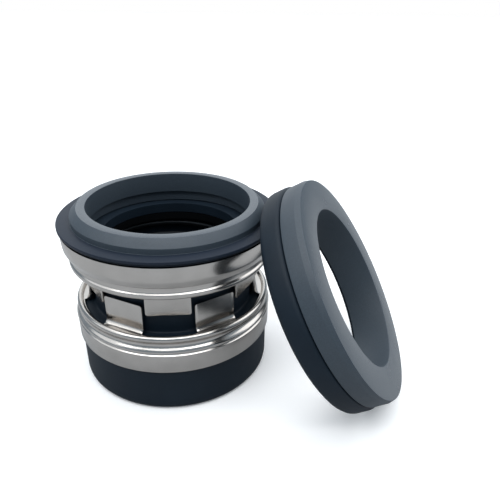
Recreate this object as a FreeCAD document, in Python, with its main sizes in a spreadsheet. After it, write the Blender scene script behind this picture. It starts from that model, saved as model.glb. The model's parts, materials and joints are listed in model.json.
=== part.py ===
import FreeCAD, Part
import math
import os
import re

import Sketcher

# Elastomer bellows mechanical seal for a 40 mm shaft, in millimetres.
# Z is the axis of the rotating head, which stands on its rubber tail at z = 0 with its
# sliding face up. The stationary seat leans on the head's edge beside it.

SIZES = [
    # Shaft and materials
    ("shaft_radius", 20.0, "shaft that the seal is made for"),
    ("tail_squeeze", 0.1, "how much smaller the rubber bore is than the shaft"),
    ("shaft_clearance", 0.3, "radial room round the shaft above the tail"),
    ("steel", 0.6, "thickness of the pressed steel"),
    ("rubber_gap", 0.3, "room between the rubber and the pieces that move with the face"),
    ("joint_gap", 0.1, "room between pieces that are nested"),
    # Rotating ring
    ("flange_height", 50.0, "top of the ring's flange above the base"),
    ("nose_height", 3.7, "height of the nose over the flange"),
    ("bore_room", 3.66, "room between the shaft and the ring's bore"),
    ("land_width", 2.5, "width of the sliding face"),
    ("nose_slope", 2.04, "width of the nose chamfer"),
    ("nose_chamfer", 2.1, "height of the nose chamfer"),
    ("flange_width", 3.8, "width of the flange round the nose"),
    ("flange_edge", 0.9, "thickness of the ring's flange"),
    ("flange_overhang", 3.0, "how far the flange stands out over the ring inside the rubber"),
    ("ring_depth", 6.0, "rubber behind the ring, below the flange's top"),
    ("recess_roof", 2.4, "thickness left over the recess in the ring's back"),
    ("recess_step", 1.04, "how much wider the recess is than the bore"),
    ("edge_round", 0.2, "small broken edge on the ceramic"),
    # Rubber bellows
    ("tail_round", 2.0, "rounding of the tail's bottom edge"),
    ("tail_shoulder", 1.1, "chamfer of the tail inside the drive band"),
    ("spring_seat_depth", 1.9, "rubber that the spring stands on, below the skirt's top"),
    ("spring_room", 0.7, "room between the spring's seat rings and the thin wall"),
    ("wall", 1.0, "thickness of the thin wall"),
    ("head_room", 0.35, "room between the head's lower part and the retainer"),
    ("head_neck_height", 3.0, "thickness of the neck over the spring"),
    ("ledge_height", 0.5, "height of the collar inside the ring's recess"),
    ("ledge_room", 1.4, "room between that collar and the recess"),
    ("lip", 1.0, "thickness of the lip round the ring"),
    ("lip_roll", 0.5, "height of the lip's rolled edge"),
    ("lip_roll_out", 1.0, "how far the rolled edge stands out from the lip"),
    ("lip_round", 0.2, "rounding of the lip's rolled edge"),
    ("rubber_round", 0.6, "rounding of the rubber's edges"),
    # Retainer
    ("rim_drop", 2.0, "retainer's top edge below the flange's top"),
    ("rim_inset", 0.5, "retainer's top edge inside the flange's edge"),
    ("rim_length", 4.3, "height of the tapered wall"),
    ("rim_taper", 0.25, "how much that wall widens upwards"),
    ("shell_draw", 2.5, "height over which the retainer draws in"),
    ("shell_draw_in", 0.9, "how far it draws in to the groove's top edge"),
    ("shell_round", 2.0, "rounding where the retainer draws in"),
    ("neck_groove_width", 1.5, "height of the groove under that"),
    ("neck_groove_lip", 0.5, "height of the slope on each side of that groove"),
    ("neck_groove_depth", 0.9, "depth of the groove from its top edge"),
    ("neck_bead_out", 0.5, "how far the bead under the groove stands out of it"),
    ("neck_bead_height", 1.4, "height of that bead"),
    # Drive band
    ("skirt_bottom", 14.4, "lower edge of the drive band"),
    ("skirt_out", 2.2, "skirt's outside from the slots' ends"),
    ("skirt_height", 5.5, "height of the skirt"),
    ("skirt_groove_depth", 0.5, "depth of the groove over the skirt"),
    ("low_bead_rise", 1.4, "middle of the lower bead above the skirt"),
    ("low_bead_out", 0.55, "lower bead out past the skirt, before rounding"),
    ("valley_rise", 1.9, "middle of the valley above the lower bead"),
    ("valley_in", 1.35, "valley inside the skirt, before rounding"),
    ("high_bead_rise", 1.55, "middle of the upper bead above the valley"),
    ("high_bead_in", 0.25, "upper bead inside the skirt, before rounding"),
    ("crown_rise", 1.45, "top of the upper bead above its middle, before rounding"),
    ("crown_in", 1.7, "that top inside the skirt"),
    ("crown_over", 1.8, "that top over the flange that carries the band's tabs"),
    ("bead_round", 0.75, "rounding of the beads"),
    ("groove_round", 0.35, "rounding of the grooves"),
    # Interlocking tabs
    ("tab_count", 6, "tabs on each of the two steel shells"),
    ("band_tab_width", 12.4, "width of the drive band's tabs"),
    ("band_tab_share", 0.64, "how much of the gap between the shells the band's tabs cross"),
    ("tab_side_play", 1.05105, "room between a tab's side and where the next tab's plane begins"),
    ("retainer_tab_share", 0.575, "how much of that gap the retainer's tabs cross"),
    ("tab_bend", 1.6, "inside radius of the bend at a tab's root"),
    ("tab_corner", 0.7, "rounding of a tab's corners"),
    ("slot_reach", 2.7, "how far out of the tabs the slots between them reach"),
    ("tab_overlap", 0.1, "how far a tab's root reaches into its flange"),
    # Spring
    ("wire", 1.6, "diameter of the spring wire"),
    ("coil_pitch", 4.2, "pitch of the spring"),
    ("spring_ring_sheet", 0.45, "thickness of the spring's seat rings"),
    ("spring_ring_collar", 2.2, "height of the seat rings' collar"),
    ("spring_ring_margin", 0.05, "how far the seat rings stand out past the spring"),
    # Stationary seat
    ("seat_bore_room", 3.4, "room between the shaft and the seat ring's bore"),
    ("seat_width", 9.6, "width of the seat ring"),
    ("seat_taper", 0.45, "width of the chamfer at the seat's face"),
    ("seat_chamfer", 1.5, "height of that chamfer"),
    ("seat_head", 5.6, "thickness of the seat ring's head"),
    ("seat_length", 11.0, "length of the seat ring"),
    ("cup_wall", 4.0, "thickness of the rubber cup round the seat ring's back"),
    ("cup_out", 0.5, "how far the cup stands out past the seat ring"),
    ("cup_front_gap", 0.2, "open groove between the seat's head and the cup"),
    ("cup_back", 1.0, "thickness of the cup behind the seat ring"),
    ("cup_bore_step", 1.0, "how much wider the cup's back is than the ring's bore"),
    ("cup_back_round", 1.8, "rounding of the cup's back edge"),
    ("cup_front_round", 1.2, "rounding of the cup's front edge"),
    ("lean_reach", 1.40439, "head's edge on the cup's back, from the rim of the cup's bore"),
    ("steepest_lean", 84.0, "steepest lean, at which a taller head is touched on its side, degrees"),
    ("seat_bearing", -18.1, "direction that the seat's face turns to, from +X, degrees"),
    ("seat_side", -1.9, "how far the seat stands beside the head's middle"),
    ("lean_gap", 0.3, "room between the leaning seat and the head's edge"),
]

DERIVED = [
    # Heights down from the ring's flange
    ("face_height", "flange_height + nose_height", "sliding face"),
    ("head_back", "flange_height - ring_depth", "rubber face that the ring's back rests on"),
    ("recess_height", "flange_height - recess_roof", "top of the recess in the ring's back"),
    ("rim_height", "flange_height - rim_drop", "top edge of the retainer"),
    ("shell_height", "rim_height - rim_length", "where the retainer starts to draw in"),
    ("neck_groove_top", "shell_height - shell_draw", "top of the retainer's groove"),
    ("neck_bead_top", "neck_groove_top - neck_groove_width - neck_groove_lip", "top of its bead"),
    ("retainer_under", "neck_bead_top - neck_bead_height", "underside of the retainer"),
    ("neck_under", "head_back + ledge_height - head_neck_height", "rubber over the spring"),
    # Heights up from the base
    ("skirt_top", "skirt_bottom + skirt_height", "top of the skirt"),
    ("spring_seat", "skirt_top - spring_seat_depth", "rubber that the spring stands on"),
    ("low_bead_height", "skirt_top + low_bead_rise", "middle of the lower bead"),
    ("valley_height", "low_bead_height + valley_rise", "middle of the valley"),
    ("high_bead_height", "valley_height + high_bead_rise", "middle of the upper bead"),
    ("crown_height", "high_bead_height + crown_rise", "top of the upper bead"),
    ("band_top", "crown_height - crown_over", "top of the flange that carries the band's tabs"),
    ("shell_gap", "retainer_under - band_top", "gap that the tabs cross"),
    ("band_tab_top", "band_top + band_tab_share * shell_gap", "top of the band's tabs"),
    ("retainer_tab_bottom", "retainer_under - retainer_tab_share * shell_gap",
     "bottom of the retainer's tabs"),
    # Radii out from the shaft: spring, thin wall, tabs, drive band
    ("shaft_room", "shaft_radius + shaft_clearance", "bore of what stands clear of the shaft"),
    ("coil_radius", "shaft_room + spring_ring_sheet + joint_gap + wire / 2", "middle of the wire"),
    ("spring_ring_radius", "coil_radius + wire / 2 + spring_ring_margin", "spring's seat rings"),
    ("wall_outer", "spring_ring_radius + spring_room + wall", "outside of the thin wall"),
    ("tab_distance", "wall_outer + rubber_gap + steel", "outer face of a tab from the axis"),
    ("retainer_tab_width",
     "4 * tab_distance * tan(90 / tab_count) - band_tab_width - 2 * tab_side_play",
     "width of the retainer's tabs"),
    ("flange_inner", "sqrt(pow(tab_distance + tab_bend; 2)"
     " + pow(max(band_tab_width; retainer_tab_width) / 2; 2))",
     "inner edge of the flanges that carry the tabs"),
    ("slot_radius", "max(tab_distance + slot_reach; flange_inner + groove_round)",
     "how far out the slots reach"),
    ("skirt_radius", "slot_radius + skirt_out", "outside of the skirt"),
    ("low_bead_radius", "skirt_radius + low_bead_out", "lower bead, before rounding"),
    ("valley_radius", "skirt_radius - valley_in", "valley, before rounding"),
    ("high_bead_radius", "skirt_radius - high_bead_in", "upper bead, before rounding"),
    ("crown_radius", "skirt_radius - crown_in", "top of the upper bead, before rounding"),
    ("tail_radius", "skirt_radius - steel - joint_gap", "outside of the tail"),
    # Radii out from the shaft: ring and retainer
    ("face_bore", "shaft_radius + bore_room", "bore of the rotating ring"),
    ("land_radius", "face_bore + land_width", "outside of the sliding face"),
    ("nose_radius", "land_radius + nose_slope", "outside of the nose"),
    ("flange_radius", "nose_radius + flange_width", "outside of the ring's flange"),
    ("ring_body_radius", "flange_radius - flange_overhang", "ring inside the rubber"),
    ("recess_radius", "face_bore + recess_step", "recess in the ring's back"),
    ("ledge_radius", "recess_radius - ledge_room", "rubber collar inside that recess"),
    ("lip_inner", "ring_body_radius + rubber_gap", "inside of the lip round the ring"),
    ("lip_outer", "lip_inner + lip", "outside of that lip"),
    ("lip_roll_radius", "lip_outer + lip_roll_out", "outside of the lip's rolled edge"),
    ("rim_radius", "flange_radius - rim_inset", "outside of the retainer's top edge"),
    ("shell_radius", "rim_radius - rim_taper", "retainer where it starts to draw in"),
    ("neck_groove_edge", "shell_radius - shell_draw_in", "top edge of the retainer's groove"),
    ("neck_groove_radius", "neck_groove_edge - neck_groove_depth", "retainer in its groove"),
    ("neck_bead_radius", "neck_groove_radius + neck_bead_out", "retainer's bead"),
    ("head_radius", "neck_groove_radius - steel - head_room", "rubber inside the groove"),
    # Seat
    ("seat_bore", "shaft_radius + seat_bore_room", "bore of the seat ring"),
    ("seat_radius", "seat_bore + seat_width", "outside of the seat ring"),
    ("seat_face_radius", "seat_radius - seat_taper", "outside of the seat's face"),
    ("cup_radius", "seat_radius + cup_out", "outside of the rubber cup"),
    ("seat_spigot_radius", "cup_radius - cup_wall", "seat ring's back"),
    ("cup_bore", "seat_bore + cup_bore_step", "bore of the cup's back"),
    ("seat_thickness", "seat_length + cup_back", "length of seat ring and cup together"),
    ("lean_arm", "cup_radius - cup_back_round + cup_bore + lean_reach",
     "along the cup's back, from its foot to the head's edge"),
    ("seat_lean", "min(steepest_lean; (asin(min(1; (flange_height - cup_back_round)"
     " / sqrt(pow(lean_arm; 2) + pow(cup_back_round; 2)))) + atan(cup_back_round / lean_arm)) / 1 deg)",
     "angle of the seat's axis from the vertical, degrees"),
]

doc = FreeCAD.newDocument("mechanical_seal")
sheet = doc.addObject("Spreadsheet::Sheet", "Sizes")
for row, (alias, value, meaning) in enumerate(SIZES + DERIVED, start=1):
    sheet.set(f"A{row}", alias)
    sheet.set(f"B{row}", f"={value}" if isinstance(value, str) else str(value))
    sheet.set(f"C{row}", meaning)
    sheet.setAlias(f"B{row}", alias)
doc.recompute()

CELL_NAME = re.compile(r"\b(" + "|".join(alias for alias, _, _ in SIZES + DERIVED) + r")\b")


def cells(text):
    """Expression over the sheet, from a text that uses the sheet's names alone."""
    return CELL_NAME.sub(r"Sizes.\1", text)


def number_of(text):
    """Number that such a text stands for."""
    result = sheet.evalExpression(cells(text))
    return float(getattr(result, "Value", result))


def origin_part(body, role):
    """Plane or axis of a body's own origin."""
    return next(item for item in body.Origin.OriginFeatures if item.Role == role)


def new_body(name):
    body = doc.addObject("PartDesign::Body", name)
    body.Label = name
    return body


def new_sketch(body, name, plane):
    sketch = body.newObject("Sketcher::SketchObject", name)
    sketch.AttachmentSupport = (origin_part(body, plane), [""])
    sketch.MapMode = "FlatFace"
    return sketch


def bind(sketch, kind, items, text):
    """Adds one measured constraint, bound to the sheet."""
    index = sketch.addConstraint(Sketcher.Constraint(kind, *items, number_of(text)))
    sketch.setExpression(f"Constraints[{index}]", cells(text))


def unit(vector):
    return FreeCAD.Vector(vector).normalize()


def corner_arc(before, corner, after, radius):
    """Arc that rounds a corner, and the ends of the arc on the lines before and after it."""
    back = unit(before - corner)
    ahead = unit(after - corner)
    half = back.getAngle(ahead) / 2
    centre = corner + unit(back + ahead) * (radius / math.sin(half))
    reach = radius / math.tan(half)
    first = corner + back * reach
    second = corner + ahead * reach
    turns_left = (corner - before).cross(after - corner).z > 0
    start, end = (first, second) if turns_left else (second, first)
    angles = [math.atan2(point.y - centre.y, point.x - centre.x) for point in (start, end)]
    if angles[1] < angles[0]:
        angles[1] += 2 * math.pi
    circle = Part.Circle(centre, FreeCAD.Vector(0, 0, 1), radius)
    return Part.ArcOfCircle(circle, *angles), first, second, turns_left


def outline(sketch, corners, closed=True):
    """Outline through (across, up, rounding) corners, all bound to the sheet."""
    points = [FreeCAD.Vector(number_of(across), number_of(up), 0) for across, up, _ in corners]
    count = len(corners)
    arcs = []
    for i, (_, _, rounding) in enumerate(corners):
        after = points[(i + 1) % count]
        arcs.append(rounding and corner_arc(points[i - 1], points[i], after, number_of(rounding)))
    lines = []
    for i in range(count if closed else count - 1):
        following = (i + 1) % count
        start = arcs[i][2] if arcs[i] else points[i]
        end = arcs[following][1] if arcs[following] else points[following]
        lines.append(sketch.addGeometry(Part.LineSegment(start, end), False))
    for i, (across, up, rounding) in enumerate(corners):
        open_end = not closed and i == count - 1
        if open_end:
            place_point(sketch, (lines[-1], 2), across, up)
            continue
        if not rounding:
            place_point(sketch, (lines[i], 1), across, up)
            if closed or i > 0:
                sketch.addConstraint(Sketcher.Constraint("Coincident", lines[i - 1], 2, lines[i], 1))
            continue
        mark = sketch.addGeometry(Part.Point(points[i]), True)
        place_point(sketch, (mark, 1), across, up)
        arc = sketch.addGeometry(arcs[i][0], False)
        first_end, second_end = (1, 2) if arcs[i][3] else (2, 1)
        sketch.addConstraint([
            Sketcher.Constraint("PointOnObject", mark, 1, lines[i - 1]),
            Sketcher.Constraint("PointOnObject", mark, 1, lines[i]),
            Sketcher.Constraint("Tangent", lines[i - 1], 2, arc, first_end),
            Sketcher.Constraint("Tangent", arc, second_end, lines[i], 1),
        ])
        bind(sketch, "Radius", (arc,), rounding)


def place_point(sketch, point, across, up):
    """Holds a sketch point at its distances from the origin."""
    bind(sketch, "DistanceX", (-1, 1, *point), across)
    bind(sketch, "DistanceY", (-1, 1, *point), up)


def turn(body, name, corners):
    """Revolves an outline of (radius, height, rounding) corners about Z."""
    sketch = new_sketch(body, f"{name}_outline", "XZ_Plane")
    outline(sketch, corners)
    revolution = body.newObject("PartDesign::Revolution", name)
    revolution.Profile = sketch
    revolution.ReferenceAxis = (sketch, ["V_Axis"])
    revolution.Angle = 360
    return revolution


def repeat_around(body, name, feature):
    pattern = body.newObject("PartDesign::PolarPattern", name)
    pattern.Originals = [feature]
    pattern.Axis = (origin_part(body, "Z_Axis"), [""])
    pattern.Angle = 360
    pattern.setExpression("Occurrences", cells("tab_count"))
    body.Tip = pattern
    return pattern


def pressed_shell(body, corners):
    """Starts a body from an outer line, given sheet steel's thickness and turned about Z."""
    line = doc.addObject("Sketcher::SketchObject", f"{body.Name}_line")
    upright = FreeCAD.Rotation(FreeCAD.Vector(1, 0, 0), 90)
    line.Placement = FreeCAD.Placement(FreeCAD.Vector(0, 0, 0), upright)
    outline(line, corners, closed=False)
    section = doc.addObject("Part::Offset2D", f"{body.Name}_section")
    section.Source = line
    section.Mode = "Skin"
    section.Join = "Intersection"
    section.Fill = True
    section.setExpression("Value", cells("steel"))
    shell = doc.addObject("Part::Revolution", f"{body.Name}_shell")
    shell.Source = section
    shell.Axis = (0, 0, 1)
    shell.Angle = 360
    shell.Solid = True
    body.BaseFeature = shell


def cut_slots(body, width, toward_x):
    """Cuts the openings between the tabs out of the flange, up to the slot radius.

    A slot is a wedge whose sides run along the two tabs beside it. The first one is
    centred on +X or on +Y, and the wedge's sides lie half a tab's width from the origin.
    """
    sketch = new_sketch(body, f"{body.Name}_slot_outline", "XY_Plane")
    apex_text = f"{width} / 2 / sin(180 / tab_count)"
    radius = number_of("slot_radius")
    half_width = number_of(f"{width} / 2")
    middle = 0 if toward_x else math.pi / 2
    spread = math.pi / number_of("tab_count") - math.asin(half_width / radius)
    ends = [FreeCAD.Vector(math.cos(middle + turn_by), math.sin(middle + turn_by), 0) * radius
            for turn_by in (-spread, spread)]
    apex = FreeCAD.Vector(math.cos(middle), math.sin(middle), 0) * number_of(apex_text)
    circle = Part.Circle(FreeCAD.Vector(0, 0, 0), FreeCAD.Vector(0, 0, 1), radius)
    side_out = sketch.addGeometry(Part.LineSegment(apex, ends[0]), False)
    arc = sketch.addGeometry(Part.ArcOfCircle(circle, middle - spread, middle + spread), False)
    side_back = sketch.addGeometry(Part.LineSegment(ends[1], apex), False)
    sketch.addConstraint([
        Sketcher.Constraint("Coincident", side_out, 2, arc, 1),
        Sketcher.Constraint("Coincident", arc, 2, side_back, 1),
        Sketcher.Constraint("Coincident", side_back, 2, side_out, 1),
        Sketcher.Constraint("Coincident", arc, 3, -1, 1),
        Sketcher.Constraint("PointOnObject", side_out, 1, -1 if toward_x else -2),
    ])
    bind(sketch, "Radius", (arc,), "slot_radius")
    bind(sketch, "DistanceX" if toward_x else "DistanceY", (-1, 1, side_out, 1), apex_text)
    bind(sketch, "Distance", (-1, 1, side_out), f"{width} / 2")
    bind(sketch, "Distance", (-1, 1, side_back), f"{width} / 2")
    slot = body.newObject("PartDesign::Pocket", f"{body.Name}_slot")
    slot.Profile = sketch
    slot.Type = "ThroughAll"
    slot.Reversed = True
    repeat_around(body, f"{body.Name}_slots", slot)


def add_tabs(body, plane, side, width, flange_face, flange_back, tab_end):
    """Bent tabs: an angle section across the flange's edge, as wide as a tab, repeated."""
    sketch = new_sketch(body, f"{body.Name}_tab_section", plane)
    outer = f"{side} * tab_distance"
    inner = f"{side} * (tab_distance - steel)"
    root = f"{side} * (flange_inner + tab_overlap)"
    outline(sketch, [
        (root, flange_face, None),
        (outer, flange_face, "tab_bend"),
        (outer, tab_end, None),
        (inner, tab_end, None),
        (inner, flange_back, "tab_bend + steel"),
        (root, flange_back, None),
    ])
    tab = body.newObject("PartDesign::Pad", f"{body.Name}_tab")
    tab.Profile = sketch
    tab.SideType = "Symmetric"
    tab.setExpression("Length", cells(width))
    tabs = repeat_around(body, f"{body.Name}_tabs", tab)
    doc.recompute()
    height, thickness = number_of(tab_end), number_of("steel")
    corners = [f"Edge{i}" for i, edge in enumerate(tabs.Shape.Edges, start=1)
               if abs(edge.Length - thickness) < NEAR
               and all(abs(vertex.Z - height) < NEAR for vertex in edge.Vertexes)]
    rounded = body.newObject("PartDesign::Fillet", f"{body.Name}_tab_corners")
    rounded.Base = (tabs, corners)
    rounded.setExpression("Radius", cells("tab_corner"))
    body.Tip = rounded


NEAR = 1e-4


def make_drive_band():
    """Pressed shell round the tail: skirt, two beads, and a slotted flange with tabs up."""
    band = new_body("drive_band")
    pressed_shell(band, [
        ("skirt_radius", "skirt_bottom", None),
        ("skirt_radius", "skirt_top", "groove_round"),
        ("skirt_radius - skirt_groove_depth", "skirt_top + skirt_groove_depth", "groove_round"),
        ("low_bead_radius", "low_bead_height", "bead_round"),
        ("valley_radius", "valley_height", "bead_round"),
        ("high_bead_radius", "high_bead_height", "bead_round"),
        ("crown_radius", "crown_height", "bead_round"),
        ("slot_radius", "band_top", "groove_round"),
        ("flange_inner", "band_top", None),
    ])
    cut_slots(band, "band_tab_width", toward_x=False)
    add_tabs(band, "XZ_Plane", "1", "band_tab_width", "band_top", "band_top - steel", "band_tab_top")


def make_retainer():
    """Pressed shell round the ring: a tapered rim, a groove, a bead, and tabs down."""
    retainer = new_body("retainer")
    pressed_shell(retainer, [
        ("flange_inner", "retainer_under", None),
        ("neck_bead_radius", "retainer_under", "bead_round"),
        ("neck_bead_radius", "neck_bead_top", "groove_round"),
        ("neck_groove_radius", "neck_bead_top + neck_groove_lip", "groove_round"),
        ("neck_groove_radius", "neck_groove_top", "groove_round"),
        ("neck_groove_edge", "neck_groove_top + neck_groove_lip", "groove_round"),
        ("shell_radius", "shell_height", "shell_round"),
        ("rim_radius", "rim_height", None),
    ])
    cut_slots(retainer, "retainer_tab_width", toward_x=True)
    add_tabs(retainer, "YZ_Plane", "-1", "retainer_tab_width",
             "retainer_under", "retainer_under + steel", "retainer_tab_bottom")


def make_primary_ring():
    """Rotating ring: a raised nose with the sliding face, a flange, and a recessed back."""
    ring = new_body("primary_ring")
    ring_back = "head_back + rubber_gap"
    flange_under = "flange_height - flange_edge"
    turn(ring, "ring", [
        ("recess_radius", ring_back, None),
        ("ring_body_radius", ring_back, "edge_round"),
        ("ring_body_radius", flange_under, None),
        ("flange_radius", flange_under, "edge_round"),
        ("flange_radius", "flange_height", "edge_round"),
        ("nose_radius", "flange_height", "edge_round"),
        ("nose_radius", "face_height - nose_chamfer", None),
        ("land_radius", "face_height", None),
        ("face_bore", "face_height", None),
        ("face_bore", "recess_height", None),
        ("recess_radius", "recess_height", None),
    ])


def make_bellows():
    """One moulding: tail on the shaft, thin wall inside the tabs, head and lip round the ring."""
    bellows = new_body("bellows")
    tail_bore = "shaft_radius - tail_squeeze"
    plug = "valley_radius - steel"
    collar_top = "skirt_top - 2 * skirt_groove_depth"
    tail_top = "band_top - steel - joint_gap"
    head_under = "retainer_under + steel + rubber_gap"
    lip_top = "flange_height - flange_edge - rubber_gap"
    turn(bellows, "moulding", [
        (tail_bore, "0", None),
        ("tail_radius", "0", "tail_round"),
        ("tail_radius", collar_top, None),
        (plug, f"{collar_top} + tail_radius - ({plug})", None),
        (plug, f"{tail_top} - tail_shoulder", None),
        (f"{plug} - tail_shoulder", tail_top, None),
        ("wall_outer", tail_top, "rubber_round"),
        ("wall_outer", head_under, "rubber_round"),
        ("head_radius", head_under, "rubber_round"),
        ("head_radius", "head_back - (lip_outer - head_radius)", None),
        ("lip_outer", "head_back", None),
        ("lip_outer", f"{lip_top} - lip_roll", None),
        ("lip_roll_radius", f"{lip_top} - lip_roll", "lip_round"),
        ("lip_roll_radius", lip_top, "lip_round"),
        ("lip_inner", lip_top, None),
        ("lip_inner", "head_back", None),
        ("ledge_radius", "head_back", None),
        ("ledge_radius", "head_back + ledge_height", "lip_round"),
        ("shaft_room", "head_back + ledge_height", None),
        ("shaft_room", "neck_under", None),
        ("wall_outer - wall", "neck_under", None),
        ("wall_outer - wall", "spring_seat", None),
        (tail_bore, "spring_seat", None),
    ])


SPRING_BOTTOM = "spring_seat + spring_ring_sheet"
SPRING_TOP = "neck_under - rubber_gap - spring_ring_sheet - joint_gap"


def make_spring_ring(name, seat, into_spring):
    """Angle section ring that seats one end of the spring and centres it from inside."""
    ring = new_body(name)
    face = f"{seat} + {into_spring} * spring_ring_sheet"
    collar_end = f"{seat} + {into_spring} * spring_ring_collar"
    turn(ring, f"{name}_section", [
        ("shaft_room", seat, None),
        ("spring_ring_radius", seat, None),
        ("spring_ring_radius", face, None),
        ("shaft_room + spring_ring_sheet", face, None),
        ("shaft_room + spring_ring_sheet", collar_end, None),
        ("shaft_room", collar_end, None),
    ])


def make_coil_spring():
    """Compression spring of round wire between the two seat rings."""
    spring = new_body("coil_spring")
    first = f"{SPRING_BOTTOM} + wire / 2"
    last = f"{SPRING_TOP} - wire / 2"
    section = new_sketch(spring, "wire_section", "XZ_Plane")
    centre = FreeCAD.Vector(number_of("coil_radius"), number_of(first), 0)
    circle = Part.Circle(centre, FreeCAD.Vector(0, 0, 1), number_of("wire / 2"))
    wire = section.addGeometry(circle, False)
    bind(section, "Radius", (wire,), "wire / 2")
    place_point(section, (wire, 3), "coil_radius", first)
    helix = spring.newObject("PartDesign::AdditiveHelix", "coils")
    helix.Profile = section
    helix.ReferenceAxis = (section, ["V_Axis"])
    helix.Mode = "pitch-height-angle"
    helix.setExpression("Pitch", cells("coil_pitch"))
    helix.setExpression("Height", cells(f"{last} - ({first})"))


def lean(body):
    """Places a piece of the seat: its cup's back edge on z = 0, leaning on the head.

    The seat's own face is at its z = 0 and looks along its +Z. The head's edge touches the
    seat's back, or, if the head is too tall for that, the seat's upper edge touches its side.
    """
    rise, across = "cos(seat_lean)", "sin(seat_lean)"
    round_depth = "(seat_thickness - cup_back_round)"
    round_radius = "(cup_radius - cup_back_round)"
    height = f"({round_depth} * {rise} + {round_radius} * {across} + cup_back_round)"
    edge_reach = f"(flange_radius * {across} + flange_height * {rise})"
    on_edge = f"(({edge_reach} + seat_thickness + lean_gap - {height} * {rise}) / {across})"
    on_side = (f"(flange_radius + lean_gap + cup_back_round"
               f" + {round_depth} * {across} + {round_radius} * {rise})")
    away = f"min({on_edge}; {on_side})"
    x = f"{away} * cos(seat_bearing) - seat_side * sin(seat_bearing)"
    y = f"{away} * sin(seat_bearing) + seat_side * cos(seat_bearing)"
    hinge = "vector(-sin(seat_bearing); cos(seat_bearing); 0)"
    text = f"placement(vector({x}; {y}; {height}); rotation({hinge}; seat_lean * 1 deg))"
    body.setExpression("Placement", cells(text))


def make_seat_ring():
    """Stationary ring: a chamfered head with the sliding face, and a narrower back."""
    seat = new_body("seat_ring")
    turn(seat, "seat", [
        ("seat_bore", "-seat_length", None),
        ("seat_spigot_radius", "-seat_length", "edge_round"),
        ("seat_spigot_radius", "-seat_head", None),
        ("seat_radius", "-seat_head", "edge_round"),
        ("seat_radius", "-seat_chamfer", "edge_round"),
        ("seat_face_radius", "0", None),
        ("seat_bore", "0", None),
    ])
    lean(seat)


def make_seat_cup():
    """Rubber cup round the seat ring's back."""
    cup = new_body("seat_cup")
    inner = "seat_spigot_radius + joint_gap"
    front = "-(seat_head + cup_front_gap)"
    turn(cup, "cup", [
        ("cup_bore", "-seat_thickness", None),
        ("cup_radius", "-seat_thickness", "cup_back_round"),
        ("cup_radius", front, "cup_front_round"),
        (inner, front, None),
        (inner, "-seat_length", None),
        ("cup_bore", "-seat_length", None),
    ])
    lean(cup)


def check_cut(name, tool):
    """A pocket or groove that points the wrong way leaves the volume as it was."""
    feature = doc.getObject(tool)
    before = feature.BaseFeature.Shape.Volume
    if not feature.Shape.Volume < before:
        raise RuntimeError(f"{tool} cuts nothing from {name}")


make_primary_ring()
make_bellows()
make_retainer()
make_drive_band()
make_spring_ring("lower_spring_ring", "spring_seat", "1")
make_spring_ring("upper_spring_ring", "neck_under - rubber_gap", "-1")
make_coil_spring()
make_seat_ring()
make_seat_cup()
doc.recompute()

for item in doc.Objects:
    if "Invalid" in item.State or "Error" in item.State:
        raise RuntimeError(f"{item.Name} could not be built: {item.State}")
    if item.TypeId == "Sketcher::SketchObject" and not item.FullyConstrained:
        raise RuntimeError(f"{item.Name} is not held by its sizes")
for name in ("drive_band", "retainer"):
    check_cut(name, f"{name}_slot")

os.makedirs("parts", exist_ok=True)
bodies = [item for item in doc.Objects if item.TypeId == "PartDesign::Body"]
for body in bodies:
    if body.Shape.isNull() or not body.Shape.isValid() or len(body.Shape.Solids) != 1:
        raise RuntimeError(f"{body.Label} is not one sound solid")
for body in bodies:
    body.Shape.exportStep(f"parts/{body.Label}.step")
    print(body.Label, round(body.Shape.Volume, 1), "mm3")
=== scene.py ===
import json
import math

import bmesh
import bpy
from mathutils import Matrix, Vector


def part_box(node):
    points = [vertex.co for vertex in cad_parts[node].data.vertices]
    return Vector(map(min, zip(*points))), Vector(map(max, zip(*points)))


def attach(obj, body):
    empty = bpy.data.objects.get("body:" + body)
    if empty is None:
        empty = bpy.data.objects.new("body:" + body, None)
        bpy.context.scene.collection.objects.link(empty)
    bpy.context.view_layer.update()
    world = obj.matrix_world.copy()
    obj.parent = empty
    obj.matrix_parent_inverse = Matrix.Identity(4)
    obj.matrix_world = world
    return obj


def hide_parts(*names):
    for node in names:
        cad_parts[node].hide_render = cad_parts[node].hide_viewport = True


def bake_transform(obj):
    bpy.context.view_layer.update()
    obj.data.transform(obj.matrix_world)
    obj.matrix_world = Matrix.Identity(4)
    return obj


bl_info = {
    "name": "Bellows Shaft Seal",
    "version": (1, 0, 0),
    "blender": (4, 5, 0),
    "location": "View3D > Sidebar > Shaft Seal",
    "description": "Builds a rotating seal head with a rubber bellows and its stationary seat",
    "category": "Object",
}

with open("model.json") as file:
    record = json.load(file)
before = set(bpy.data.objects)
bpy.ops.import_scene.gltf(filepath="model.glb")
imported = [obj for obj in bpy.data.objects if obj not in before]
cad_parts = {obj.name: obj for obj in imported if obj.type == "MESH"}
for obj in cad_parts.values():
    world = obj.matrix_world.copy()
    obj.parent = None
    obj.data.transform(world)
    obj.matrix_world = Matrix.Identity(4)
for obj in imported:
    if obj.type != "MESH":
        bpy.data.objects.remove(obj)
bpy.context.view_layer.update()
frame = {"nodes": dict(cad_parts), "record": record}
MOUNTS = {mount["name"]: mount for mount in frame["record"]["mounts"]}
RING_LOW, RING_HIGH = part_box("primary_ring")
RETAINER_LOW, RETAINER_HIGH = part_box("retainer")
BAND_LOW, BAND_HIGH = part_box("drive_band")
SPRING_LOW, SPRING_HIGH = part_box("coil_spring")

MM = 0.001
HEAD = "shaft_unit"
FACE = "face_unit"

WELD = 1e-6  # Metres within which two points are one
SHARP = math.radians(32)  # Edges that turn by more than this stay sharp
SQUARE = math.radians(70)  # Edges of the sheet that turn by more than this are cut edges
LONGEST_WALL = 1.2 * MM  # Longest edge along the bellows, so that its wall can bend

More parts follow.
